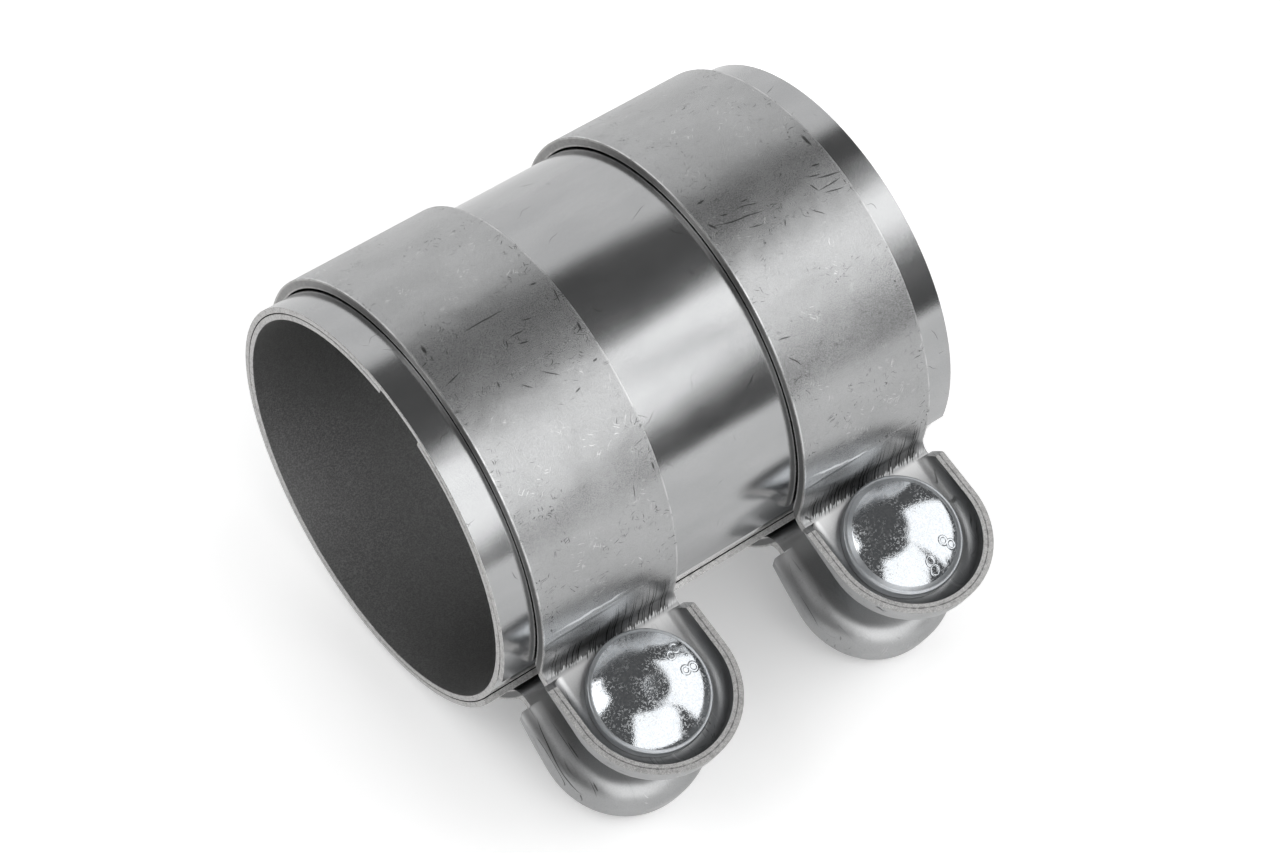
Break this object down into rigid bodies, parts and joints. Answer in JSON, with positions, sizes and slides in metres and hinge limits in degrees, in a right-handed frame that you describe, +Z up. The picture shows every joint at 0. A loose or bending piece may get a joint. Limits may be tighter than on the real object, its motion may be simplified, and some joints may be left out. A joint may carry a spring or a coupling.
{
  "type": "exhaust slip clamp",
  "caption": "Slotted double sleeve that joins two exhaust pipes, closed by flat steel bands with cupped ears and round-head bolts.",
  "frame": {"origin": "centre of the bore, half way along the sleeves", "axes": "+X along the pipe, +Z up as the clamp lies on a bench, ears pointing along -Y and down"},
  "size_m": [0.09, 0.1006, 0.0758],
  "materials": {
    "sleeve_steel": "smooth rolled stainless sheet, satin, with soft dark and light bands along the pipe",
    "band_steel": "rolled steel strip, satin, scuffed, with dark forming streaks at the bends and bright sheared edges",
    "zinc": "bright zinc plate, near mirror, finely mottled"
  },
  "bodies": {
    "clamp": {"inner_sleeve": "sleeve_steel", "outer_sleeve": "sleeve_steel", "front_band": "band_steel", "rear_band": "band_steel", "front_bolt": "zinc", "rear_bolt": "zinc"},
    "front_washer": {"front_washer": "zinc"},
    "front_nut": {"front_nut": "zinc"},
    "rear_washer": {"rear_washer": "zinc"},
    "rear_nut": {"rear_nut": "zinc"}
  },
  "joints": [
    {"name": "front_nut_turn", "type": "hinge", "parent": "clamp", "child": "front_washer", "pos_m": [-0.0258, -0.04143, -0.02657], "axis": [0, 0.4147, -0.91], "range_deg": [0, 1440]},
    {"name": "front_nut_travel", "type": "slide", "parent": "front_washer", "child": "front_nut", "axis": [0, 0.4147, -0.91], "range_m": [0, 0.005]},
    {"name": "rear_nut_turn", "type": "hinge", "parent": "clamp", "child": "rear_washer", "pos_m": [0.0258, -0.04143, -0.02657], "axis": [0, 0.4147, -0.91], "range_deg": [0, 1440]},
    {"name": "rear_nut_travel", "type": "slide", "parent": "rear_washer", "child": "rear_nut", "axis": [0, 0.4147, -0.91], "range_m": [0, 0.005]}
  ],
  "couplings": [
    {"joint": "front_nut_travel", "follows": "front_nut_turn", "m_per_rad": 0.00019894},
    {"joint": "rear_nut_travel", "follows": "rear_nut_turn", "m_per_rad": 0.00019894}
  ]
}
